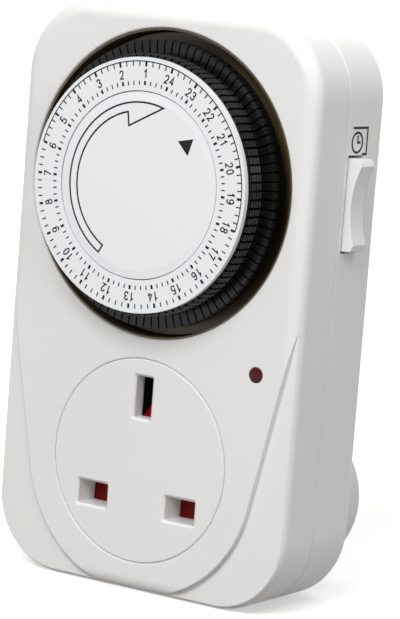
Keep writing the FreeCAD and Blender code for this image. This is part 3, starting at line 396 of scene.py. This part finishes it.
def add_bump(tree, shader, height, distance, edge=0.0):
    """Raise the surface by a height socket; edge is the radius that sharp edges seem to have."""
    bump = tree.nodes.new("ShaderNodeBump")
    bump.inputs["Distance"].default_value = distance
    bump.inputs["Strength"].default_value = 1.0
    tree.links.new(height, bump.inputs["Height"])
    if edge:
        rounded = tree.nodes.new("ShaderNodeBevel")
        rounded.samples = 6
        rounded.inputs["Radius"].default_value = edge
        tree.links.new(rounded.outputs[0], bump.inputs["Normal"])
    tree.links.new(bump.outputs[0], shader.inputs["Normal"])


def plastic(name, colour, rough, tone=0.03, drift=0.06, grain=2500.0, grain_depth=0.004, coat=0.0,
            dust=0.0, dust_colour=(0.6, 0.58, 0.54), subsurface=0.0, edge=0.0, shine=0.5):
    """Moulded plastic; grain_depth is its grain's height and edge its edges' radius, in millimetres."""
    mat, tree, shader = bare_material(name)
    skin = place_group(tree, "moulded", {"Colour": (*colour, 1), "Tone": tone, "Grain Scale": grain,
                                         "Roughness": rough, "Roughness Drift": drift})
    colour_out = skin.outputs["Colour"]
    if dust:
        film = place_group(tree, "dust", {"Dust Colour": (*dust_colour, 1), "Amount": dust})
        tree.links.new(colour_out, film.inputs["Colour"])
        colour_out = film.outputs["Colour"]
    tree.links.new(colour_out, shader.inputs["Base Color"])
    shader.inputs["Specular IOR Level"].default_value = shine
    tree.links.new(skin.outputs["Roughness"], shader.inputs["Roughness"])
    shader.inputs["Coat Weight"].default_value = coat
    shader.inputs["Coat Roughness"].default_value = COAT_ROUGHNESS
    if subsurface:
        shader.inputs["Subsurface Weight"].default_value = subsurface
        shader.inputs["Subsurface Radius"].default_value = (1.0, 0.9, 0.8)
        shader.inputs["Subsurface Scale"].default_value = 0.6 * MM
    add_bump(tree, shader, skin.outputs["Grain"], grain_depth * MM, edge=edge * MM)
    return mat


def metal(name, colour, tarnish, rough, stretch, line_depth=0.003):
    """Drawn metal; stretch gives the noise scale along X, Y and Z."""
    mat, tree, shader = bare_material(name)
    skin = place_group(tree, "brushed", {"Colour": (*colour, 1), "Tarnish": (*tarnish, 1),
                                         "Stretch": stretch, "Roughness": rough})
    tree.links.new(skin.outputs["Colour"], shader.inputs["Base Color"])
    tree.links.new(skin.outputs["Roughness"], shader.inputs["Roughness"])
    shader.inputs["Metallic"].default_value = 1.0
    add_bump(tree, shader, skin.outputs["Lines"], line_depth * MM)
    return mat


def clear_plastic(name, colour, rough, transmission, coat=0.6, shine=0.5):
    mat, tree, shader = bare_material(name)
    skin = place_group(tree, "moulded", {"Colour": (*colour, 1), "Tone": 0.08, "Grain Scale": 900.0,
                                         "Roughness": rough, "Roughness Drift": 0.04})
    tree.links.new(skin.outputs["Colour"], shader.inputs["Base Color"])
    tree.links.new(skin.outputs["Roughness"], shader.inputs["Roughness"])
    shader.inputs["Transmission Weight"].default_value = transmission
    shader.inputs["Specular IOR Level"].default_value = shine
    shader.inputs["IOR"].default_value = 1.5
    shader.inputs["Coat Weight"].default_value = coat
    shader.inputs["Coat Roughness"].default_value = CLEAR_COAT_ROUGHNESS
    add_bump(tree, shader, skin.outputs["Grain"], 0.002 * MM)
    return mat


def winding(name):
    """Enamelled wire wound round the motor's axis, as fine rings along the axis."""
    mat, tree, shader = bare_material(name)
    skin = place_group(tree, "moulded", {"Colour": (0.46, 0.17, 0.06, 1), "Tone": 0.2,
                                         "Grain Scale": 1800.0, "Roughness": 0.3,
                                         "Roughness Drift": 0.1})
    turns = tree.nodes.new("ShaderNodeTexWave")
    turns.bands_direction = "Y"
    turns.inputs["Scale"].default_value = TURN_SCALE
    turns.inputs["Distortion"].default_value = 0.6
    tree.links.new(object_place(tree), turns.inputs["Vector"])
    tree.links.new(skin.outputs["Colour"], shader.inputs["Base Color"])
    tree.links.new(skin.outputs["Roughness"], shader.inputs["Roughness"])
    shader.inputs["Metallic"].default_value = 0.6
    add_bump(tree, shader, turns.outputs["Fac"], TURN_DEPTH)
    return mat


def ink(name, colour):
    """Pad-printed ink, a little uneven at its surface."""
    return plastic(name, colour, 0.42, tone=0.5, drift=0.2, grain=5000.0, grain_depth=0.003, shine=0.15)


def make_materials():
    along_y = (9000.0, 500.0, 9000.0)
    along_z = (9000.0, 9000.0, 500.0)
    return {
        "white_plastic": plastic("white case plastic", (0.83, 0.83, 0.82), 0.36, tone=0.025,
                                 grain=2600.0, grain_depth=0.003, subsurface=0.08, edge=0.45),
        "dial_white": plastic("white dial plastic", (0.86, 0.88, 0.91), 0.3, tone=0.02, grain=700.0,
                              grain_depth=0.002, coat=0.1, edge=0.15),
        "black_plastic": plastic("black tappet plastic", (0.004, 0.004, 0.0045), 0.24, tone=0.35,
                                 drift=0.15, grain=4200.0, grain_depth=0.003, dust=0.015, shine=0.28),
        # The drum's own dark brown; on the well liner round the dial opening the same colour is also
        # painted shade, a dark sheet standing for the opening's shaded inner wall, warmed towards its dim
        # brown glow.
        "carrier_brown": plastic("dark brown drum plastic and painted well shade", (0.075, 0.054, 0.024), 0.38, tone=0.3,
                                 drift=0.12, grain=3600.0, dust=0.1, dust_colour=(0.3, 0.25, 0.18)),
        "shutter_red": plastic("red shutter plastic", (0.2, 0.002, 0.003), 0.3, tone=0.12,
                               grain=3000.0, shine=0.15),
        "neon_red": clear_plastic("red lens", (0.06, 0.002, 0.003), 0.18, 0.0, coat=0.0, shine=0.2),
        "lamp_glass": clear_plastic("lamp glass", (0.9, 0.82, 0.76), 0.05, 0.9),
        "brass": metal("brass", (0.72, 0.52, 0.22), (0.36, 0.2, 0.08), 0.28, along_y),
        "sleeve_black": plastic("black pin sleeve", (0.02, 0.02, 0.021), 0.5, tone=0.3, grain=3800.0),
        "steel": metal("zinc-plated steel", (0.6, 0.6, 0.58), (0.42, 0.38, 0.3), 0.32, along_y),
        "motor_steel": metal("pressed steel", (0.55, 0.55, 0.54), (0.36, 0.33, 0.28), 0.36, along_z),
        "magnet": plastic("bonded magnet", (0.06, 0.055, 0.05), 0.6, tone=0.4, grain=5200.0,
                          grain_depth=0.01),
        "coil": winding("enamelled winding"),
        "tray_grey": plastic("grey tray plastic", (0.32, 0.33, 0.34), 0.48, tone=0.12),
        "plate_ivory": plastic("ivory plate plastic", (0.66, 0.6, 0.46), 0.46, tone=0.08),
        "gear_natural": plastic("natural gear plastic", (0.76, 0.74, 0.66), 0.34, tone=0.06,
                                subsurface=0.2),
        "switch_black": plastic("black switch plastic", (0.025, 0.025, 0.028), 0.38, tone=0.3),
        "button_red": plastic("red button plastic", (0.42, 0.03, 0.02), 0.36, tone=0.12),
        "resistor_tan": plastic("lacquered resistor", (0.52, 0.36, 0.18), 0.3, tone=0.25, coat=0.5),
        "lead_blue": plastic("blue wire cover", (0.03, 0.09, 0.3), 0.45, tone=0.15),
        "lead_brown": plastic("brown wire cover", (0.13, 0.05, 0.02), 0.45, tone=0.15),
    }


MATERIALS = make_materials()
DIAL_INK = ink("dial ink", (0.012, 0.012, 0.014))
MARK_INK = ink("case ink", (0.014, 0.014, 0.016))


def dress_nodes():
    """Each CAD piece takes the material of its slot in the record."""
    for row in frame["record"]["subparts"]:
        piece = nodes[row["node"]]
        piece.data.materials.clear()
        piece.data.materials.append(MATERIALS[row["material_slot"]])


# Print


def to_mesh_object(name, mesh_builder, material):
    mesh = bpy.data.meshes.new(name)
    mesh_builder.normal_update()
    bmesh.ops.recalc_face_normals(mesh_builder, faces=mesh_builder.faces[:])
    mesh_builder.to_mesh(mesh)
    mesh_builder.free()
    mesh.materials.append(material)
    piece = bpy.data.objects.new(name, mesh)
    bpy.context.scene.collection.objects.link(piece)
    return piece


def slab(bm, outline, place, thickness):
    """A thin closed prism; outline holds flat (a, b) points and place maps (a, b, depth) to space."""
    lower = [bm.verts.new(place(a, b, 0)) for a, b in outline]
    upper = [bm.verts.new(place(a, b, thickness)) for a, b in outline]
    bm.faces.new(lower)
    bm.faces.new(list(reversed(upper)))
    for i in range(len(outline)):
        j = (i + 1) % len(outline)
        bm.faces.new((lower[i], upper[i], upper[j], lower[j]))


def band(bm, inner, outer, place, thickness, closed):
    """A thin closed strip between two matching rows of (a, b) points."""
    rings = []
    for (a, b), (c, d) in zip(inner, outer):
        rings.append([bm.verts.new(place(a, b, 0)), bm.verts.new(place(c, d, 0)),
                      bm.verts.new(place(c, d, thickness)), bm.verts.new(place(a, b, thickness))])
    count = len(rings)
    for i in range(count if closed else count - 1):
        here, there = rings[i], rings[(i + 1) % count]
        for k in range(4):
            m = (k + 1) % 4
            bm.faces.new((here[k], here[m], there[m], there[k]))
    if not closed:
        bm.faces.new(rings[0])
        bm.faces.new(list(reversed(rings[-1])))


def stroke(bm, points, width, place, thickness, closed=False):
    """A line of even width along (a, b) points, with mitred corners."""
    count = len(points)
    inner, outer = [], []
    for i, point in enumerate(points):
        here = Vector(point)
        before = Vector(points[i - 1]) if i or closed else None
        after = Vector(points[(i + 1) % count]) if i < count - 1 or closed else None
        ways = [w.normalized() for w in ((here - before) if before else None,
                                         (after - here) if after else None) if w]
        sides = [Vector((-w.y, w.x)) for w in ways]
        middle = sum(sides, Vector((0, 0))).normalized()
        reach = width / 2 / max(MITRE_LIMIT, middle.dot(sides[0]))
        inner.append(tuple(here - middle * reach))
        outer.append(tuple(here + middle * reach))
    band(bm, inner, outer, place, thickness, closed)


def polar(radius, degrees):
    a = math.radians(degrees)
    return radius * math.cos(a), radius * math.sin(a)


def arc_points(radius, start, end, step=2.0):
    count = max(2, int(abs(end - start) / step) + 1)
    return [polar(radius, start + (end - start) * i / (count - 1)) for i in range(count)]


def on_dial_face(y):
    """Maps flat dial points to space, ink rising towards the front."""
    return lambda a, b, depth: (DIAL_X + a, y + INK_SINK - depth, DIAL_Z + b)


def tick(bm, radii, degrees, width, place):
    r0, r1 = radii
    half_width = width / 2
    c, s = math.cos(math.radians(degrees)), math.sin(math.radians(degrees))
    corners = [(r0, -half_width), (r1, -half_width), (r1, half_width), (r0, half_width)]
    slab(bm, [(r * c - w * s, r * s + w * c) for r, w in corners], place, INK_DEPTH)


def dial_ticks():
    bm = bmesh.new()
    place = on_dial_face(DIAL_Y)
    for i in range(QUARTERS):
        degrees = HOUR_ONE + 360.0 * i / QUARTERS
        width = HOUR_TICK_WIDTH if i % (QUARTERS // HOURS) == 0 else QUARTER_TICK_WIDTH
        for radii in (INNER_TICK, OUTER_TICK):
            tick(bm, radii, degrees, width, place)
    band(bm, arc_points(NIGHT_LINE[0], *NIGHT_SPAN), arc_points(NIGHT_LINE[1], *NIGHT_SPAN),
         place, INK_DEPTH, False)
    piece = to_mesh_object("dial_ticks", bm, DIAL_INK)
    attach(piece, "dial")


def oval(middle_a, middle_b, half_width, half_height, step):
    """Points round a closed oval, the first one repeated at its end."""
    turns = [math.radians(degrees) for degrees in range(0, 361, step)]
    return [(middle_a + half_width * math.cos(t), middle_b + half_height * math.sin(t)) for t in turns]


# Digits as lines through points, from (0, 0) at the lower left to (1, 1)
SIX = [(0.94, 0.83), (0.8, 0.96), (0.52, 1.0), (0.2, 0.9), (0.05, 0.68), (0.0, 0.34), (0.13, 0.09),
       (0.5, 0.0), (0.87, 0.1), (1.0, 0.3), (0.87, 0.51), (0.5, 0.6), (0.13, 0.5), (0.02, 0.36)]
GLYPHS = {
    "0": [oval(0.5, 0.5, 0.5, 0.5, 24)],
    "1": [[(0.14, 0.72), (0.6, 1.0), (0.6, 0.0)]],
    "2": [[(0.04, 0.72), (0.16, 0.92), (0.5, 1.0), (0.84, 0.92), (0.96, 0.72), (0.85, 0.5),
           (0.04, 0.0), (1.0, 0.0)]],
    "3": [[(0.04, 0.78), (0.2, 0.95), (0.5, 1.0), (0.82, 0.93), (0.94, 0.76), (0.82, 0.59), (0.44, 0.54)],
          [(0.44, 0.54), (0.86, 0.47), (1.0, 0.27), (0.86, 0.07), (0.5, 0.0), (0.16, 0.06), (0.0, 0.24)]],
    "4": [[(0.72, 0.0), (0.72, 1.0), (0.0, 0.28), (1.04, 0.28)]],
    "5": [[(0.92, 1.0), (0.14, 1.0), (0.06, 0.5), (0.3, 0.6), (0.6, 0.62), (0.9, 0.5), (1.0, 0.3),
           (0.88, 0.09), (0.5, 0.0), (0.14, 0.06), (0.0, 0.22)]],
    "6": [SIX],
    "7": [[(0.0, 1.0), (1.0, 1.0), (0.38, 0.0)]],
    "8": [oval(0.5, 0.77, 0.42, 0.23, 30), oval(0.5, 0.27, 0.5, 0.27, 30)],
    "9": [[(1 - a, 1 - b) for a, b in SIX]],
}


def dial_numbers():
    """The hours, tops outward, running anticlockwise."""
    bm = bmesh.new()
    place = on_dial_face(DIAL_Y)
    for hour in range(1, HOURS + 1):
        angle = math.radians(HOUR_ONE + 360.0 / HOURS * (hour - 1))
        c, s = math.cos(angle), math.sin(angle)
        text = str(hour)
        for i, digit in enumerate(text):
            middle = (i - (len(text) - 1) / 2) * DIGIT_STEP
            for line in GLYPHS[digit]:
                across = [(middle + (a - 0.5) * DIGIT_WIDTH, DIGIT_RADIUS + (b - 0.5) * DIGIT_HEIGHT)
                          for a, b in line]
                stroke(bm, [(c * v + s * u, s * v - c * u) for u, v in across], DIGIT_LINE, place,
                       INK_DEPTH)
    piece = to_mesh_object("dial_numbers", bm, DIAL_INK)
    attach(piece, "dial")


def disc_print():
    """The outlined arrow that shows which way to turn, and the pointer at the present time."""
    bm = bmesh.new()
    place = on_dial_face(disc_low.y)
    outline = arc_points(ARROW_OUTER, ARROW_TAIL, ARROW_TIP)
    outline.append(ARROW_BARB)
    outline += arc_points(ARROW_INNER, ARROW_NECK, ARROW_TAIL)
    stroke(bm, outline, ARROW_LINE, place, INK_DEPTH, closed=True)
    slab(bm, POINTER, place, INK_DEPTH)
    piece = to_mesh_object("disc_print", bm, DIAL_INK)
    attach(piece, "case")


def on_case_side(a, b, depth):
    """Maps depth behind the front and height above the rocker to the case's right side."""
    return SIDE_X - INK_SINK + depth, FRONT_Y + a, rocker_high.z + b


def clock_mark():
    """The small clock above the rocker, in a bracket open at the front."""
    bm = bmesh.new()
    bracket = [(MARK_FRONT + MARK_TOP_START, MARK_TOP), (MARK_BACK, MARK_TOP),
               (MARK_BACK, MARK_BOTTOM), (MARK_BACK - MARK_FOOT, MARK_BOTTOM)]
    stroke(bm, bracket, MARK_LINE, on_case_side, INK_DEPTH)
    a = MARK_FRONT + MARK_RING_PLACE[0]
    b = (MARK_TOP + MARK_BOTTOM) / 2 + MARK_RING_PLACE[1]
    ring = [(a + p[0], b + p[1]) for p in arc_points(MARK_RING, 0, 360, 12)][:-1]
    stroke(bm, ring, MARK_LINE, on_case_side, INK_DEPTH, closed=True)
    hands = [(a + MARK_PIVOT, b + MARK_HANDS[1]), (a + MARK_PIVOT, b), (a + MARK_HANDS[0], b)]
    stroke(bm, hands, MARK_LINE, on_case_side, INK_DEPTH)
    piece = to_mesh_object("clock_mark", bm, MARK_INK)
    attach(piece, "case")


camera()
studio()
dress_nodes()
dial_ticks()
dial_numbers()
disc_print()
clock_mark()
